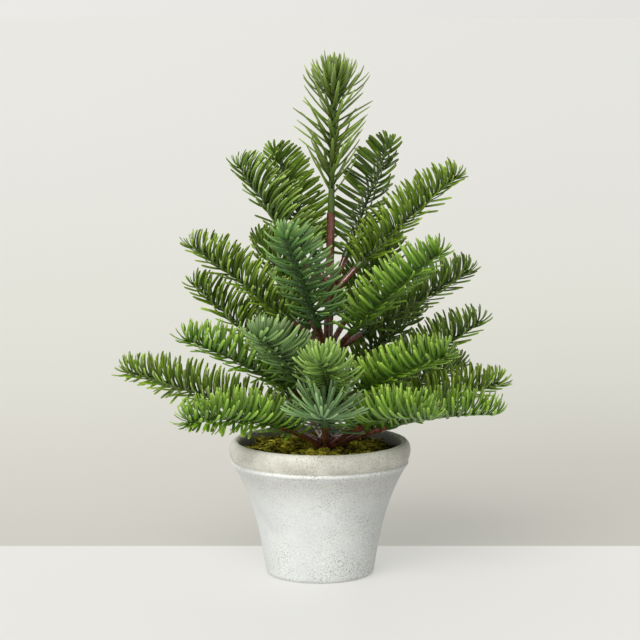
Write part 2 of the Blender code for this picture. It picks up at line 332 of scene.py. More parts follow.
pot = {
    "wall": 0.0053,
    "floor": 0.008,
    "waist": 0.047,
    "neck": 0.074,
    "neckHeight": 0.094,
    "flare": 0.0145,
    "footRound": (0.003, 0.005),      # how far in and how far up
    "footHole": 0.004,                # radius at which the outline starts and ends
    "footFlat": 0.030,
    "rim": 0.0778,
    "wallTop": 0.0937,                # where the bead under the rim begins
    "outsideSteps": 28,
    "insideSteps": 24,
    "sides": 160,
}


def arcPoints(center, reach, start, end, count):
    steps = [math.radians(start + (end - start) * i / count) for i in range(count + 1)]
    return [(center[0] + reach[0] * math.cos(a), center[1] + reach[1] * math.sin(a)) for a in steps]


def potRadius(height):
    foot = pot["footRound"][1]
    t = (height - foot) / (pot["neckHeight"] - foot)
    return pot["waist"] + pot["flare"] * t + (pot["neck"] - pot["waist"] - pot["flare"]) * t ** 3


# from the wall over the bead and the rolled rim and down inside: radius and height
rimRoll = (
    (0.0741, 0.0944), (0.0751, 0.0953), (0.0759, 0.0961), (0.0763, 0.0970), (0.0762, 0.0978),
    (0.0755, 0.0985), (0.0753, 0.0991), (0.0759, 0.1000), (0.0767, 0.1014), (0.0774, 0.1034),
    (0.0779, 0.1058), (0.0780, 0.1082), (0.0778, 0.1103), (0.0772, 0.1123), (0.0762, 0.1140),
    (0.0749, 0.1153), (0.0733, 0.1160), (0.0718, 0.1157), (0.0706, 0.1146), (0.0698, 0.1128),
    (0.0694, 0.1105), (0.0690, 0.1060), (0.0687, 0.1000),
)


def potOutline():
    turnIn, foot = pot["footRound"]
    outline = [(pot["footHole"], 0.0), (pot["footFlat"], 0.0)]
    outline += arcPoints((pot["waist"] - turnIn, foot), (turnIn, foot), -90, 0, 6)
    steps = pot["outsideSteps"]
    step = (pot["wallTop"] - foot) / steps
    for i in range(1, steps + 1):
        outline.append((potRadius(foot + step * i), foot + step * i))
    outline += list(rimRoll)
    steps = pot["insideSteps"]
    step = (pot["wallTop"] - pot["floor"] - 0.004) / steps
    for i in range(steps + 1):
        height = pot["wallTop"] - step * i
        outline.append((potRadius(height) - pot["wall"], height))
    inner = potRadius(pot["floor"]) - pot["wall"]
    outline += [(inner - 0.0008, pot["floor"] + 0.0015), (inner - 0.0035, pot["floor"])]
    outline.append((pot["footHole"], pot["floor"]))
    return outline


def glazeMaterial():
    made, tree, shader = newMaterial("speckledGlaze", 0.55, Specular_IOR_Level=0.35)
    place = objectPlace(tree)
    where = addNode(tree, "SeparateXYZ", {"Vector": place})
    height = where.outputs["Z"]
    cloud = noiseOf(tree, place, 24.0, 5.0)
    wall = ramp(tree, cloud, [(0.32, (0.665, 0.690, 0.690)), (0.68, (0.775, 0.800, 0.795))])
    rimCloud = noiseOf(tree, place, 55.0, 6.0, 0.6)
    rimTone = ramp(tree, rimCloud, [(0.32, (0.50, 0.49, 0.42)), (0.68, (0.74, 0.73, 0.66))])
    glaze = mixColor(tree, rangeOf(tree, height, 0.0980, 0.0996), wall, rimTone)
    # painted highlight: the top of the rolled rim lighter, where it faces up
    crest = rangeOf(tree, height, 0.106, 0.114, 0.0, 0.5)
    glaze = mixColor(tree, crest, glaze, (0.68, 0.67, 0.60))
    # painted shade under the bead: a darker beige-grey band just below it, fading downwards
    below = rangeOf(tree, height, 0.066, 0.096)
    below = ramp(tree, below, [(0.0, grey(0.0)), (0.85, grey(0.55)), (1.0, grey(0.0))])
    glaze = mixColor(tree, below, glaze, (0.56, 0.555, 0.51))
    # painted highlight along the bead under the rim
    bead = rangeOf(tree, height, 0.094, 0.100)
    bead = ramp(tree, bead, [(0.15, grey(0.0)), (0.5, grey(0.55)), (0.8, grey(0.0))])
    glaze = mixColor(tree, bead, glaze, (0.84, 0.85, 0.83))
    # painted shade: the glaze scaled darker towards the pot's right side
    glaze = scaleColor(tree, glaze, rangeOf(tree, where.outputs["X"], 0.0, 0.075, 1.0, 0.80))
    grain = ramp(tree, noiseOf(tree, place, 560.0, 3.0, 0.7), [(0.36, grey(0.93)), (0.64, grey(1.05))])
    glaze = mixColor(tree, 1.0, glaze, grain, "MULTIPLY")
    dots = ramp(tree, noiseOf(tree, place, 950.0, 2.0, 0.6), [(0.54, grey(0.0)), (0.64, grey(1.0))])
    side = rangeOf(tree, where.outputs["X"], -0.07, 0.07, -0.10, 0.15)
    foot = rangeOf(tree, height, 0.0, 0.035, 0.20, 0.0)
    high = rangeOf(tree, height, 0.070, 0.095, 0.0, 0.14)
    spread = noiseOf(tree, place, 42.0, 6.0, 0.7)
    for more in (side, foot, high):
        spread = mathOf(tree, "ADD", spread, more)
    spread = ramp(tree, spread, [(0.44, grey(0.05)), (0.74, grey(0.95))])
    speckle = mixColor(tree, 1.0, dots, spread, "MULTIPLY")
    glaze = mixColor(tree, speckle, glaze, (0.29, 0.28, 0.245))
    # darker grey inside the pot, with rings
    lines = {"Vector": place, "Scale": 160.0, "Distortion": 1.5, "Detail": 2.0}
    rings = addNode(tree, "TexWave", lines, bands_direction="Z").outputs["Fac"]
    insideTone = ramp(tree, rings, [(0.2, (0.21, 0.21, 0.20)), (0.8, (0.33, 0.33, 0.31))])
    glaze = mixColor(tree, attribute(tree, "insideWall"), glaze, insideTone)
    tree.links.new(glaze, shader.inputs["Base Color"])
    rough = ramp(tree, cloud, [(0.3, grey(0.48)), (0.7, grey(0.62))])
    tree.links.new(rough, shader.inputs["Roughness"])
    bumpOf(tree, shader, mixColor(tree, 0.35, grain, dots), 0.35, 0.0004)
    return made


def insideShare(spot):
    line = min(potRadius(spot.z) - 0.003, 0.0706)
    return 1.0 if spot.z > pot["floor"] - 0.0005 and math.hypot(spot.x, spot.y) < line else 0.0


def makePot():
    piece = turnPiece("potBody", potOutline(), pot["sides"])
    setAttribute(piece.data, "insideWall", [insideShare(v.co) for v in piece.data.vertices])
    dress(piece, glazeMaterial(), "pot_and_trunk", "glaze", "pot")


makePot()
print("pot")


# trunk sleeves, leaning, with a swollen collar at each whorl

trunk = {
    "foot": (0.0047, 0.0, 0.098),
    "lean": 1.25,                     # degrees to the right
    "radii": (0.0043, 0.0040, 0.0035),
    "cuts": (0.0004, 0.076, 0.128, 0.2115),
    "collars": ((0.016, 0.0065), (0.051, 0.0075), (0.100, 0.0070), (0.154, 0.0070)),
    "proud": 0.0018,
    "step": 0.0012,
    "core": 0.0006,
    "gap": 0.0002,                    # between two sleeves
    "grain": (260.0, 0.00035),        # how fine and how deep
    "sides": 28,
    "cup": ((0.0036, 0.2130), (0.00345, 0.2136), (0.00325, 0.2137), (0.0030, 0.2130), (0.0020, 0.2120),
            (0.0006, 0.2116)),
}
leanTurn = Matrix.Rotation(math.radians(trunk["lean"]), 4, "Y")
treeFrame = Matrix.Translation(trunk["foot"]) @ leanTurn


def trunkRadius(index, height):
    radius = trunk["radii"][index]
    for middle, half in trunk["collars"]:
        off = abs(height - middle) / half
        radius += trunk["proud"] * max(0.0, 1.0 - off ** 4) ** 0.5 if off < 1 else 0.0
    return radius


def barkMaterial(name, lift):
    made, tree, shader = newMaterial(name, 0.26, Specular_IOR_Level=0.6, Coat_Weight=0.7,
                                     Coat_Roughness=0.10)
    place = objectPlace(tree)
    flow = noiseOf(tree, place, 140.0, 4.0)
    tone = ramp(tree, flow, [(0.30, (0.060, 0.018, 0.010)), (0.55, (0.140, 0.040, 0.025)),
                             (0.78, (0.270, 0.100, 0.064))])
    # painted light: the bark's tone scaled lighter by this factor, 1.0 for none
    tone = mixColor(tree, 1.0, tone, grey(lift), "MULTIPLY")
    tree.links.new(tone, shader.inputs["Base Color"])
    rough = ramp(tree, noiseOf(tree, place, 300.0, 3.0), [(0.3, grey(0.18)), (0.7, grey(0.34))])
    tree.links.new(rough, shader.inputs["Roughness"])
    bumpOf(tree, shader, noiseOf(tree, place, 480.0, 4.0), 0.30, 0.0005)
    return made


barkBrown = barkMaterial("mouldedBark", 1.0)
barkPaintedLit = barkMaterial("mouldedBarkPaintedLit", 1.8)   # the lowest stems, painted lighter for the light they catch from the front


def roughen(piece, size, reach):
    for vertex in piece.data.vertices:
        vertex.co += vertex.normal * noise.noise(vertex.co * size) * reach


def makeTrunk():
    for index, name in enumerate(("trunk_lower", "trunk_middle", "trunk_upper")):
        low, high = trunk["cuts"][index], trunk["cuts"][index + 1] - trunk["gap"]
        steps = int((high - low) / trunk["step"])
        heights = [low + (high - low) * i / steps for i in range(steps + 1)]
        outline = [(trunk["core"], low)] + [(trunkRadius(index, h), h) for h in heights]
        outline += list(trunk["cup"]) if index == 2 else [(trunk["core"], high)]
        piece = turnPiece(name.replace("_", "") + "Sleeve", outline, trunk["sides"])
        roughen(piece, *trunk["grain"])
        piece.data.transform(treeFrame)
        dress(piece, barkBrown, "pot_and_trunk", "bark_brown", name)


makeTrunk()
print("trunk")


# sprays: rise at root and tip in degrees, stem and whole length, and which green. What sets one
# apart: open and fan scale the needles' lean and length, curl their bend, lift their turn round the
# twig, clear leaves out those between two turns, noUnder those below, skirt adds hanging ones,
# sway swings the tip sideways

sprays = {
    "tier1_left": {"rise": (57, 51), "stem": 0.022, "length": 0.134, "green": "mid", "fan": 1.16},
    "tier1_back_left": {"rise": (53, 63), "stem": 0.022, "length": 0.135, "green": "mid", "open": 1.28,
                        "clear": (70, 110), "sway": 0.004},
    "tier1_back_right": {"rise": (56, 66), "stem": 0.022, "length": 0.143, "green": "dark", "open": 1.30,
                         "clear": (60, 120), "sway": -0.005},
    "tier1_right": {"rise": (48, 38), "stem": 0.022, "length": 0.151, "green": "olive"},
    "tier2_left": {"rise": (39, 33), "stem": 0.028, "length": 0.147, "green": "olive"},
    "tier2_front": {"rise": (51, 45), "stem": 0.022, "length": 0.147, "green": "deep", "open": 1.42,
                    "fan": 1.16, "clear": (60, 120), "width": 0.0025},
    "tier2_right_front": {"rise": (46, 36), "stem": 0.020, "length": 0.148, "green": "bright"},
    "tier2_right": {"rise": (30, 26), "stem": 0.026, "length": 0.150, "green": "dark"},
    "tier2_back_right": {"rise": (37, 33), "stem": 0.026, "length": 0.147, "green": "dark"},
    "tier2_back_left": {"rise": (36, 32), "stem": 0.026, "length": 0.147, "green": "dark"},
    "tier3_left_high": {"rise": (41.5, 37.5), "stem": 0.028, "length": 0.158, "green": "olive"},
    "tier3_left_low": {"rise": (33, 20), "stem": 0.028, "length": 0.149, "green": "bright"},
    "tier3_front_left": {"rise": (34, 28), "stem": 0.028, "length": 0.143, "green": "sage", "open": 1.30,
                         "fan": 1.08, "clear": (70, 110), "width": 0.0025},
    "tier3_front": {"rise": (29, 23), "stem": 0.028, "length": 0.140, "green": "pale", "open": 1.38,
                    "fan": 1.06, "sway": -0.018, "width": 0.0025},
    "tier3_right_front": {"rise": (30, 20), "stem": 0.028, "length": 0.139, "green": "bright"},
    "tier3_right": {"rise": (23, 36), "stem": 0.028, "length": 0.153, "green": "dark"},
    "tier3_back_right": {"rise": (32, 28), "stem": 0.028, "length": 0.147, "green": "dark"},
    "tier3_back_left": {"rise": (32, 28), "stem": 0.028, "length": 0.147, "green": "dark"},
    "tier4_left": {"rise": (23, 11), "stem": 0.050, "length": 0.187, "green": "olive", "skirt": 0.6},
    "tier4_left_front": {"rise": (29, -5), "stem": 0.050, "length": 0.164, "green": "bright", "skirt": 0.56},
    "tier4_front": {"rise": (46, -6), "stem": 0.040, "length": 0.125, "green": "star", "open": 1.56,
                    "fan": 1.26, "noUnder": True, "lift": 0.92, "width": 0.0024, "curl": 0.4},
    "tier4_right_front": {"rise": (36, -4), "stem": 0.050, "length": 0.149, "green": "bright",
                          "noUnder": True},
    "tier4_right_low": {"rise": (27, 1), "stem": 0.050, "length": 0.160, "green": "bright", "noUnder": True},
    "tier4_right": {"rise": (21.5, 13.5), "stem": 0.050, "length": 0.165, "green": "olive"},
    "tier4_back_right": {"rise": (23, 11), "stem": 0.050, "length": 0.180, "green": "dark"},
    "tier4_back": {"rise": (20, 14), "stem": 0.050, "length": 0.170, "green": "dark"},
}

# upper face, underside and tip of the needles
greens = {
    "bright": ((0.185, 0.395, 0.010), (0.120, 0.260, 0.020), (0.400, 0.580, 0.080)),
    "olive": ((0.185, 0.330, 0.008), (0.105, 0.200, 0.016), (0.410, 0.560, 0.080)),
    "mid": ((0.170, 0.310, 0.018), (0.125, 0.230, 0.035), (0.370, 0.500, 0.100)),
    "dark": ((0.120, 0.230, 0.010), (0.080, 0.150, 0.018), (0.290, 0.410, 0.065)),
    "deep": ((0.095, 0.220, 0.024), (0.080, 0.200, 0.042), (0.270, 0.420, 0.105)),
    "sage": ((0.125, 0.255, 0.036), (0.160, 0.300, 0.085), (0.320, 0.460, 0.150)),
    "pale": ((0.160, 0.310, 0.020), (0.175, 0.325, 0.055), (0.370, 0.530, 0.110)),
    "star": ((0.130, 0.270, 0.070), (0.175, 0.325, 0.125), (0.330, 0.470, 0.200)),
    "leader": ((0.210, 0.335, 0.024), (0.140, 0.240, 0.036), (0.470, 0.590, 0.170)),
}

needle = {
    "length": 0.030,                  # longest, in the middle of a spray
    "width": 0.0028,
    "thick": 0.0016,
    "sides": 8,
    "bends": (0, 16, 32, 48, 64, 80),  # degrees over its length
    "groove": 0.15,                   # height left along the middle of the upper face
}
# share of the length, share of the width, share of the thickness
needleShape = ((0.0, 0.50, 1.0), (0.07, 0.52, 0.98), (0.22, 0.80, 0.92), (0.48, 0.98, 0.90),
               (0.74, 1.0, 0.92), (0.90, 0.92, 0.90), (0.965, 0.70, 0.74), (0.992, 0.40, 0.48),
               (1.0, 0.14, 0.2))
longShape = ((0.0, 0.60, 1.0), (0.08, 0.60, 0.95), (0.28, 0.95, 0.85), (0.52, 1.0, 0.80), (0.74, 0.84, 0.72),
             (0.89, 0.56, 0.58), (0.97, 0.28, 0.40), (1.0, 0.08, 0.2))


def bendMesh(mesh, degrees):
    if not degrees:
        return
    reach = 1.0 / math.radians(degrees)
    for vertex in mesh.vertices:
        x, y, z = vertex.co
        turn = x / reach
        vertex.co = ((reach - z) * math.sin(turn), y, reach - (reach - z) * math.cos(turn))


def makeNeedleMasters(shape):
    masters = []
    for bend in needle["bends"]:
        bpy.ops.object.select_all(action="DESELECT")
        bpy.ops.mesh.primitive_circle_add(vertices=needle["sides"], radius=0.5, fill_type="NGON",
                                          rotation=(0, math.radians(90), 0))
        made = bpy.context.object
        bpy.ops.object.transform_apply(location=True, rotation=True, scale=True)
        bpy.ops.object.mode_set(mode="EDIT")
        bpy.ops.mesh.select_all(action="SELECT")
        first = shape[0]
        bpy.ops.transform.resize(value=(1, first[1], first[2]))
        before = first
        for station in shape[1:]:
            onward = (station[0] - before[0], 0, 0)
            bpy.ops.mesh.extrude_region_move(TRANSFORM_OT_translate={"value": onward})
            bpy.ops.transform.resize(value=(1, station[1] / before[1], station[2] / before[2]),
                                     center_override=(station[0], 0, 0))
            before = station
        bpy.ops.mesh.select_all(action="SELECT")
        bpy.ops.mesh.normals_make_consistent(inside=False)
        bpy.ops.object.mode_set(mode="OBJECT")
        mesh = made.data
        along = [min(max(v.co.x, 0.0), 1.0) for v in mesh.vertices]
        under = [1.0 if v.co.z < -0.05 else 0.0 for v in mesh.vertices]
        for vertex in mesh.vertices:
            if vertex.co.z > 0 and abs(vertex.co.y) < 0.02:
                vertex.co.z *= needle["groove"]
        mesh.transform(Matrix.Diagonal((1.0, 1.0, needle["thick"] / needle["length"], 1.0)))
        bendMesh(mesh, bend)
        setAttribute(mesh, "alongNeedle", along)
        setAttribute(mesh, "needleUnder", under)
        setAttribute(mesh, "needleShade", [0.5] * len(along))
        mesh.shade_smooth()
        masters.append(made)
    return masters


def needleMaterial(name, colors):
    upper, under, tip = colors
    made, tree, shader = newMaterial(name + "Needles", 0.30, Specular_IOR_Level=0.55)
    place = objectPlace(tree)
    blotch = noiseOf(tree, place, 180.0, 3.0)
    dark = tuple(channel * 0.72 for channel in upper)
    face = mixColor(tree, ramp(tree, blotch, [(0.35, grey(0.0)), (0.65, grey(1.0))]), dark, upper)
    face = mixColor(tree, attribute(tree, "needleUnder"), face, under)
    end = ramp(tree, attribute(tree, "alongNeedle"), [(0.0, grey(0.0)), (0.60, grey(0.04)),
                                                      (0.92, grey(0.42)), (1.0, grey(0.80))])
    face = mixColor(tree, end, face, tip)
    shade = attribute(tree, "needleShade")
    light = ramp(tree, shade, [(0.0, grey(0.52)), (1.0, grey(1.38))])
    face = mixColor(tree, 1.0, face, light, "MULTIPLY")
    # painted shade: needles darker at their roots near the twig, where shade falls
    root = ramp(tree, attribute(tree, "alongNeedle"), [(0.0, grey(0.32)), (0.38, grey(1.0))])
    face = mixColor(tree, 1.0, face, root, "MULTIPLY")
    twig = attribute(tree, "twigPart")
    twigTone = tuple(channel * 0.55 for channel in under)
    face = mixColor(tree, twig, face, twigTone)
    tree.links.new(face, shader.inputs["Base Color"])
    rough = ramp(tree, blotch, [(0.3, grey(0.24)), (0.7, grey(0.40))])
    tree.links.new(rough, shader.inputs["Roughness"])
    bumpOf(tree, shader, noiseOf(tree, place, 700.0, 3.0), 0.22, 0.0003)
    return made


needleMasters = makeNeedleMasters(needleShape)
longMasters = makeNeedleMasters(longShape)
needleGreens = {name: needleMaterial(name, colors) for name, colors in greens.items()}
print("needle masters:", len(needleMasters[0].data.polygons), "faces each")


def placeNeedle(root, forward, upward, bend, length, width=needle["width"], masters=needleMasters):
    forward = forward.normalized()
    side = upward.cross(forward).normalized()
    upward = forward.cross(side)
    frameOf = Matrix((forward * length, side * width, upward * length)).transposed().to_4x4()
    frameOf.translation = root
    index = min(range(len(needle["bends"])), key=lambda i: abs(needle["bends"][i] - bend))
    mesh = masters[index].data.copy()
    mesh.transform(frameOf)
    setAttribute(mesh, "needleShade", [random.random()] * len(mesh.vertices))
    made = bpy.data.objects.new("needle", mesh)
    bpy.context.scene.collection.objects.link(made)
    return made


joints = {joint["child"]: joint for joint in frame["joints"]}


def hingeFrame(body):
    joint = joints[body]
    upward = leanTurn.to_3x3() @ Vector((0, 0, 1))
    across = -Vector(joint["axis"]).normalized()
    outward = across.cross(upward)
    made = Matrix((outward, across, upward)).transposed().to_4x4()
    made.translation = Vector(joint["pos_m"])
    return made


def along(spray, s):
    start, end = (math.radians(angle) for angle in spray["rise"])
    rate = (end - start) / spray["length"]
    angle = start + rate * max(s, 0.0)
    if s <= 0:
        forward = Vector((math.cos(start), 0, math.sin(start)))
        return s * forward, forward
    sway = spray.get("sway", 0.0)
    share = s / spray["length"]
    place = Vector((math.sin(angle) - math.sin(start), 0, math.cos(start) - math.cos(angle))) / rate
    place.y = sway * share ** 2
    return place, Vector((math.cos(angle), 2 * sway * share / spray["length"], math.sin(angle))).normalized()


spraySetup = {
    "gap": 0.0004,                    # between the stem and the twig
    "tipReach": 0.015,                # the last needles reach this far past the twig
    "step": 0.0037,                   # between needle stations
    "twig": (0.0016, 0.0009),         # radius at the socket and at the tip
    "twigSteps": 14,
    "twigSides": 10,
    "socket": (0.0032, 0.0085),       # radius and length
    "firstNeedles": 0.005,
    "open": 1.14,
    "leanShare": (1.12, 0.34),        # at the root, and how much less at the tip
    "sizes": (0.92, 1.06),
    "widths": (0.88, 1.12),
    "bendWobble": 14,                 # degrees
    "leanWobble": 7,
    "turnWobble": 8,
    "skirtFrom": 0.38,                # hanging needles begin this far out
    "hanging": ((-64, 58, 14), (244, 58, 14)),
    "tipNeedles": 10,
    "tipLean": (26, 42),              # every other needle
    "tipBend": 42,
    "tipSize": 0.56,
    "tipSizes": (0.9, 1.1),
    "mostBare": 0.031,                # needles begin here at the latest, over the twig's own socket
}
# around the twig in degrees: 0 right, 90 up, 180 left; lean from the twig; bend; length share
needleRows = (
    ((-8, 56, 60, 1.0), (188, 56, 60, 1.0), (42, 50, 48, 1.02), (138, 50, 48, 1.02), (84, 42, 24, 0.76)),
    ((19, 54, 54, 1.0), (161, 54, 54, 1.0), (64, 47, 38, 0.99), (116, 47, 38, 0.99),
     (-38, 33, 16, 0.80), (218, 33, 16, 0.80)),
)

# metres, the space that a lowered needle must stay out of
pathOver = {"rim": 0.0815, "rimTop": 0.1185, "inside": 0.066, "mossTop": 0.1125}


def meetsPot(joint, tip):
    low = math.radians(joint["range_deg"][0])
    pivot = Vector(joint["pos_m"])
    lowered = pivot + Matrix.Rotation(low, 3, Vector(joint["axis"])) @ (tip - pivot)
    reach = math.hypot(lowered.x, lowered.y)
    top = pathOver["mossTop"] if reach < pathOver["inside"] else pathOver["rimTop"]
    return reach < pathOver["rim"] and lowered.z < top


def needleSize(t):
    return 0.80 + 0.20 * math.sin(math.pi * min(1.0, 0.15 + t * 0.85)) - 0.20 * max(0.0, t - 0.75) / 0.25


def crossFrame(forward, across):
    upward = forward.cross(across)
    if upward.z < 0:
        upward.negate()
    return upward, forward.cross(upward)


def makeSpray(name, spray):
    place = hingeFrame(name)
    turnIn = place.to_3x3()
    start = spray["stem"] + spraySetup["gap"]
    end = spray["length"] - spraySetup["tipReach"]
    bare = min(start + spraySetup["firstNeedles"], spraySetup["mostBare"])
    rootRadius, socketLength = spraySetup["socket"]
    thick, thin = spraySetup["twig"]
    stations = [(start, rootRadius * 0.92), (start + 0.0006, rootRadius),
                (start + socketLength - 0.001, rootRadius * 0.97),
                (start + socketLength + 0.0015, thick * 1.25)]
    count = spraySetup["twigSteps"]
    first = start + socketLength + 0.005
    for i in range(count + 1):
        stations.append((first + (end - first) * i / count, thick + (thin - thick) * i / count))
    stations.append((end + 0.0025, thin * 0.4))
    points = [place @ along(spray, s)[0] for s, radius in stations]
    twig = tubeAlong(name + "_twig", points, [radius for s, radius in stations], spraySetup["twigSides"])
    setAttribute(twig.data, "twigPart", [1.0] * len(twig.data.vertices))
    parts = [twig]
    s = bare
    row = 0
    across = Vector((0, 1, 0))
    while s < end:
        t = (s - bare) / (end - bare)
        center, forward = along(spray, s)
        upward, right = crossFrame(forward, across)
        rows = needleRows[row % len(needleRows)]
        if "skirt" in spray and row % 2 and t > spraySetup["skirtFrom"]:
            for around, lean, bend in spraySetup["hanging"]:
                rows += ((around + wobble(14), lean, bend, spray["skirt"]),)
        low, high = spray.get("clear", (999, 999))
        for around, lean, bend, share in rows:
            if low < around < high or spray.get("noUnder") and not -20 < around < 200:
                continue
            around = 90 + (around - 90) * spray.get("lift", 1.0)
            outward = leaning(right, upward, around + wobble(spraySetup["turnWobble"]))
            most, less = spraySetup["leanShare"]
            lean *= spray.get("open", spraySetup["open"]) * (most - less * t ** 2)
            heading = leaning(forward, outward, lean + wobble(spraySetup["leanWobble"]))
            skyward = upward + 0.25 * outward + across * wobble(0.25)
            root = center + outward * thick * 0.6 + forward * wobble(0.0012)
            size = needle["length"] * share * needleSize(t) * spray.get("fan", 1.0)
            size *= random.uniform(*spraySetup["sizes"])
            width = spray.get("width", needle["width"]) * random.uniform(*spraySetup["widths"])
            if meetsPot(joints[name], place @ (root + heading * size)):
                continue
            bend = bend * spray.get("curl", 1.0) + wobble(spraySetup["bendWobble"])
            parts.append(placeNeedle(place @ root, turnIn @ heading, turnIn @ skyward, bend, size, width))
        s += spraySetup["step"]
        row += 1
    center, forward = along(spray, end)
    upward, right = crossFrame(forward, across)
    for i in range(spraySetup["tipNeedles"]):
        turn = i * 360 / spraySetup["tipNeedles"] + wobble(spraySetup["turnWobble"])
        if spray.get("noUnder") and math.sin(math.radians(turn)) < -0.3:
            continue
        lean = spraySetup["tipLean"][i % 2] + wobble(4)
        outward = leaning(right, upward, turn)
        heading = leaning(forward, outward, lean)
        size = needle["length"] * spraySetup["tipSize"] * random.uniform(*spraySetup["tipSizes"])
        parts.append(placeNeedle(place @ center, turnIn @ heading, turnIn @ (upward + 0.3 * outward),
                                 spraySetup["tipBend"], size))
    piece = joinAll(parts, name + "_needles")
    dress(piece, needleGreens[spray["green"]], name, "needle_green", name + "_spray")
    return len(parts)


stemSetup = {
    "radius": 0.0026,
    "knuckle": 0.0033,
    "knuckleLength": 0.0036,
    "waver": 0.05,                    # share of the radius
    "steps": 12,
    "sides": 14,
    "grain": (380.0, 0.00022),        # how fine and how deep
}


def makeStem(name, spray):
    place = hingeFrame(name)
    radius = stemSetup["radius"]
    knuckle = stemSetup["knuckle"]
    stations = [(-x, r) for x, r in arcPoints((0, 0), (knuckle, knuckle), 8, 88, 5)]
    stations += [(0.0, knuckle), (stemSetup["knuckleLength"], radius * 1.04)]
    count = stemSetup["steps"]
    low = stemSetup["knuckleLength"] + 0.002
    for i in range(count + 1):
        s = low + (spray["stem"] - low) * i / count
        stations.append((s, radius * (1.0 + stemSetup["waver"] * math.sin(i * 2.4 + len(name)))))
    stations.append((spray["stem"] + 0.0003, radius * 0.8))
    points = [place @ along(spray, s)[0] for s, r in stations]
    piece = tubeAlong(name + "_bark", points, [r for s, r in stations], stemSetup["sides"])
    roughen(piece, *stemSetup["grain"])
    # the lowest stems get the bark painted lighter, for the light they catch from the front
    bark = barkPaintedLit if name.startswith("tier4") else barkBrown
    dress(piece, bark, name, "bark_brown", name + "_stem")


needleCount = 0
for sprayName, sprayLook in sprays.items():
    makeStem(sprayName, sprayLook)
    needleCount += makeSpray(sprayName, sprayLook)
print("sprays:", needleCount, "needles")


# leader: needles all round an upright shoot that ends in a bud

leader = {
    "length": 0.1335,
    "socketRadius": 0.0031,
    "radius": 0.0026,
    "bare": 0.016,
    "bud": 0.020,                     # the shoot swells to a bud over this length
    "steps": 20,
    "sides": 14,
    "socket": ((-0.0030, 0.0012), (-0.0024, 0.0024), (-0.0012, 0.0030)),   # height and radius
    "budShape": ((0.2, 1.00), (0.4, 1.10), (0.6, 0.98), (0.8, 0.62), (0.93, 0.28), (1.0, 0.05)),
    "needles": 80,
    "sizes": (0.90, 1.05),
    "needleLength": 0.038,
    "needleWidth": 0.0032,
    "lean": (44, 56, 34),             # degrees from the shoot: at the bottom, half way and near the top
    "bends": (8, 34),                 # at the bottom and at the top
    "goldenTurn": 137.5,
    "crown": 54,                      # needles that curl up round the bud, from the outer to the inner
    "crownTilt": (86, 32),
    "crownBend": (72, 28),
    "crownLength": (0.037, 0.021),
    "crownRoot": (0.036, 0.018),      # below the shoot's tip
    "crownSizes": (0.90, 1.06),
    "crownWidth": 0.94,
}


def makeLeader():
    joint = joints["leader"]
    place = Matrix.Translation(Vector(joint["pos_m"])) @ leanTurn
    radius = leader["radius"]
    stations = list(leader["socket"])
    stations += [(0.0, leader["socketRadius"]), (0.010, leader["socketRadius"]), (0.014, radius * 1.05)]
    count = leader["steps"]
    low = leader["bare"]
    top = leader["length"] - leader["bud"]
    for i in range(count + 1):
        stations.append((low + (top - low) * i / count, radius * (1 + 0.05 * math.sin(i * 1.9))))
    stations += [(top + 0.016 * share, radius * scale) for share, scale in leader["budShape"]]
    points = [place @ Vector((0, 0, z)) for z, r in stations]
    shoot = tubeAlong("leaderShoot", points, [r for z, r in stations], leader["sides"])
    setAttribute(shoot.data, "twigPart", [0.75] * len(shoot.data.vertices))
    parts = [shoot]
    turnIn = place.to_3x3()
    upright = Vector((0, 0, 1))
    for i in range(leader["needles"]):
        t = i / (leader["needles"] - 1)
        z = leader["bare"] + (leader["length"] - 0.024 - leader["bare"]) * t ** 0.88
        turn = math.radians(leader["goldenTurn"] * i + wobble(8))
        outward = Vector((math.cos(turn), math.sin(turn), 0))
        low, middle, high = leader["lean"]
        if t < 0.5:
            lean = low + (middle - low) * t / 0.5
        else:
            lean = middle + (high - middle) * ((t - 0.5) / 0.5) ** 2
        heading = leaning(upright, outward, lean + wobble(6))
        size = leader["needleLength"] * (0.94 + 0.10 * math.sin(math.pi * t) - 0.26 * t ** 3)
        size *= random.uniform(*leader["sizes"])
        root = upright * z + outward * radius * 0.7
        bend = between(leader["bends"], t ** 4) + wobble(9)
        parts.append(placeNeedle(place @ root, turnIn @ heading, turnIn @ upright, bend, size,
                                 leader["needleWidth"], longMasters))
    for i in range(leader["crown"]):
        turn = math.radians(leader["goldenTurn"] * i + wobble(9))
        outward = Vector((math.cos(turn), math.sin(turn), 0))
        inner = i / (leader["crown"] - 1)
        heading = leaning(upright, outward, between(leader["crownTilt"], inner ** 1.7) + wobble(6))
        height = leader["length"] - between(leader["crownRoot"], inner)
        root = upright * height + outward * radius * 0.7
        bend = between(leader["crownBend"], inner) + wobble(10)
        size = between(leader["crownLength"], inner) * random.uniform(*leader["crownSizes"])
        parts.append(placeNeedle(place @ root, turnIn @ heading, turnIn @ upright, bend, size,
                                 leader["needleWidth"] * leader["crownWidth"], longMasters))
    piece = joinAll(parts, "leader_needles")
    dress(piece, needleGreens["leader"], "leader", "needle_green", "leader_spray")


makeLeader()
for master in needleMasters + longMasters:
    bpy.data.objects.remove(master)
print("leader")


# moss: a lumpy mat with curly wisps

moss = {
    "edge": 0.0684,
    "low": 0.0985,
    "top": 0.1050,
    "crown": 0.0010,
    "lump": 0.0075,
    "quiet": 0.020,                   # calmer this near the trunk
    "rings": 26,
    "sides": 110,
    "tuftKinds": 6,
    "wisps": 5,                       # in a tuft
    "wispRadii": (0.050, 0.060, 0.058, 0.052, 0.040, 0.015),   # shares of the tuft's size
    "tufts": 860,
    "tuftSize": (0.0062, 0.0130),
    "inset": 0.8,                     # tuft sizes kept clear of the pot's wall
}


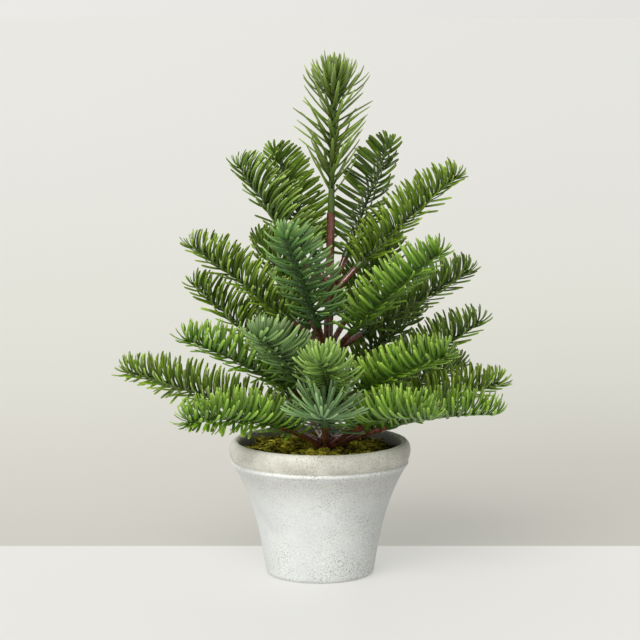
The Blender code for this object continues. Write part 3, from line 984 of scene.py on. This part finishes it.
def mossHeight(x, y):
    reach = math.hypot(x, y) / moss["edge"]
    calm = min(1.0, 0.3 + math.hypot(x, y) / moss["quiet"] * 0.5)
    lumps = noise.noise(Vector((x, y, 0.3)) * 75) + 0.40 * noise.noise(Vector((x, y, 1.7)) * 210)
    height = moss["top"] + moss["crown"] * (1 - reach ** 2) + calm * moss["lump"] * lumps
    return max(moss["low"] + 0.001, height)


def mossMaterial():
    made, tree, shader = newMaterial("mossFibres", 0.9, Specular_IOR_Level=0.2)
    place = objectPlace(tree)
    blotch = noiseOf(tree, place, 90.0, 5.0, 0.6)
    tone = ramp(tree, blotch, [(0.34, (0.070, 0.050, 0.008)), (0.49, (0.330, 0.300, 0.022)),
                               (0.62, (0.680, 0.640, 0.075))])
    patches = ramp(tree, noiseOf(tree, place, 55.0, 4.0, 0.6), [(0.40, grey(0.30)), (0.56, grey(1.1))])
    tone = mixColor(tree, 1.0, tone, patches, "MULTIPLY")
    # wispShade is random per tuft; the mat under the tufts has 0, the darkest value: painted shade in the
    # hollows between the tufts
    shade = attribute(tree, "wispShade")
    shade = ramp(tree, shade, [(0.0, grey(0.16)), (0.15, grey(0.45)), (1.0, grey(2.0))])
    tone = mixColor(tree, 1.0, tone, shade, "MULTIPLY")
    tree.links.new(tone, shader.inputs["Base Color"])
    bumpOf(tree, shader, noiseOf(tree, place, 900.0, 4.0), 0.6, 0.001)
    return made


def makeTuftMasters():
    masters = []
    for kind in range(moss["tuftKinds"]):
        wisps = []
        for wisp in range(moss["wisps"]):
            heading = random.uniform(0, 2 * math.pi)
            curl = random.uniform(-2.6, 2.6)
            rise = random.uniform(0.3, 1.0)
            points, spot = [], Vector((wobble(0.2), wobble(0.2), -0.15))
            for radius in moss["wispRadii"]:
                points.append(spot.copy())
                spot += Vector((math.cos(heading), math.sin(heading), rise)) * 0.2
                heading += curl * 0.28
                rise -= random.uniform(0.1, 0.4)
            wisps.append(tubeAlong("wisp", points, moss["wispRadii"], 3))
        masters.append(joinAll(wisps, "tuft"))
    return masters


def makeMoss():
    edge, low = moss["edge"], moss["low"]
    outline = [(0.003, low), (edge - 0.0006, low), (edge, low + 0.002)]
    rings = moss["rings"]
    outline += [(edge * (1 - i / rings) + 0.0008, moss["top"]) for i in range(rings)]
    mat = turnPiece("mossMat", outline, moss["sides"])
    for vertex in mat.data.vertices:
        if vertex.co.z > moss["top"] - 0.0005:
            vertex.co.z = mossHeight(vertex.co.x, vertex.co.y)
    parts = [mat]
    masters = makeTuftMasters()
    # painted shade: the mat under the tufts set to the darkest value
    setAttribute(mat.data, "wispShade", [0.0] * len(mat.data.vertices))
    for i in range(moss["tufts"]):
        size = random.uniform(*moss["tuftSize"])
        reach = (edge - size * moss["inset"]) * math.sqrt(random.random())
        turn = random.uniform(0, 2 * math.pi)
        x, y = reach * math.cos(turn), reach * math.sin(turn)
        mesh = masters[i % len(masters)].data.copy()
        spin = Matrix.Rotation(random.uniform(0, 2 * math.pi), 4, "Z")
        mesh.transform(Matrix.Translation((x, y, mossHeight(x, y) + 0.0002)) @ spin @ Matrix.Scale(size, 4))
        setAttribute(mesh, "wispShade", [random.random()] * len(mesh.vertices))
        tuft = bpy.data.objects.new("tuft", mesh)
        bpy.context.scene.collection.objects.link(tuft)
        parts.append(tuft)
    for master in masters:
        bpy.data.objects.remove(master)
    piece = joinAll(parts, "mossMat")
    dress(piece, mossMaterial(), "pot_and_trunk", "moss", "moss_layer")


makeMoss()
print("moss")


# pieces that stay as they are and get a better finish

def fillerMaterial():
    made, tree, shader = newMaterial("looseFill", 0.95)
    place = objectPlace(tree)
    crumb = noiseOf(tree, place, 60.0, 6.0)
    tone = ramp(tree, crumb, [(0.3, (0.10, 0.07, 0.05)), (0.7, (0.30, 0.24, 0.18))])
    tree.links.new(tone, shader.inputs["Base Color"])
    bumpOf(tree, shader, noiseOf(tree, place, 300.0, 4.0), 0.7, 0.002)
    return made


def wireMaterial():
    made, tree, shader = newMaterial("drawnWire", 0.35, Metallic=1.0)
    place = objectPlace(tree)
    streak = noiseOf(tree, place, 500.0, 3.0)
    tone = ramp(tree, streak, [(0.3, (0.32, 0.31, 0.30)), (0.7, (0.52, 0.51, 0.49))])
    tree.links.new(tone, shader.inputs["Base Color"])
    bumpOf(tree, shader, noiseOf(tree, place, 900.0, 2.0), 0.2, 0.0002)
    return made


for nodeName, finish in (("filler_plug", fillerMaterial()), ("trunk_rod", wireMaterial())):
    node = frame["nodes"][nodeName]
    node.data.materials.clear()
    node.data.materials.append(finish)
print("inner pieces")
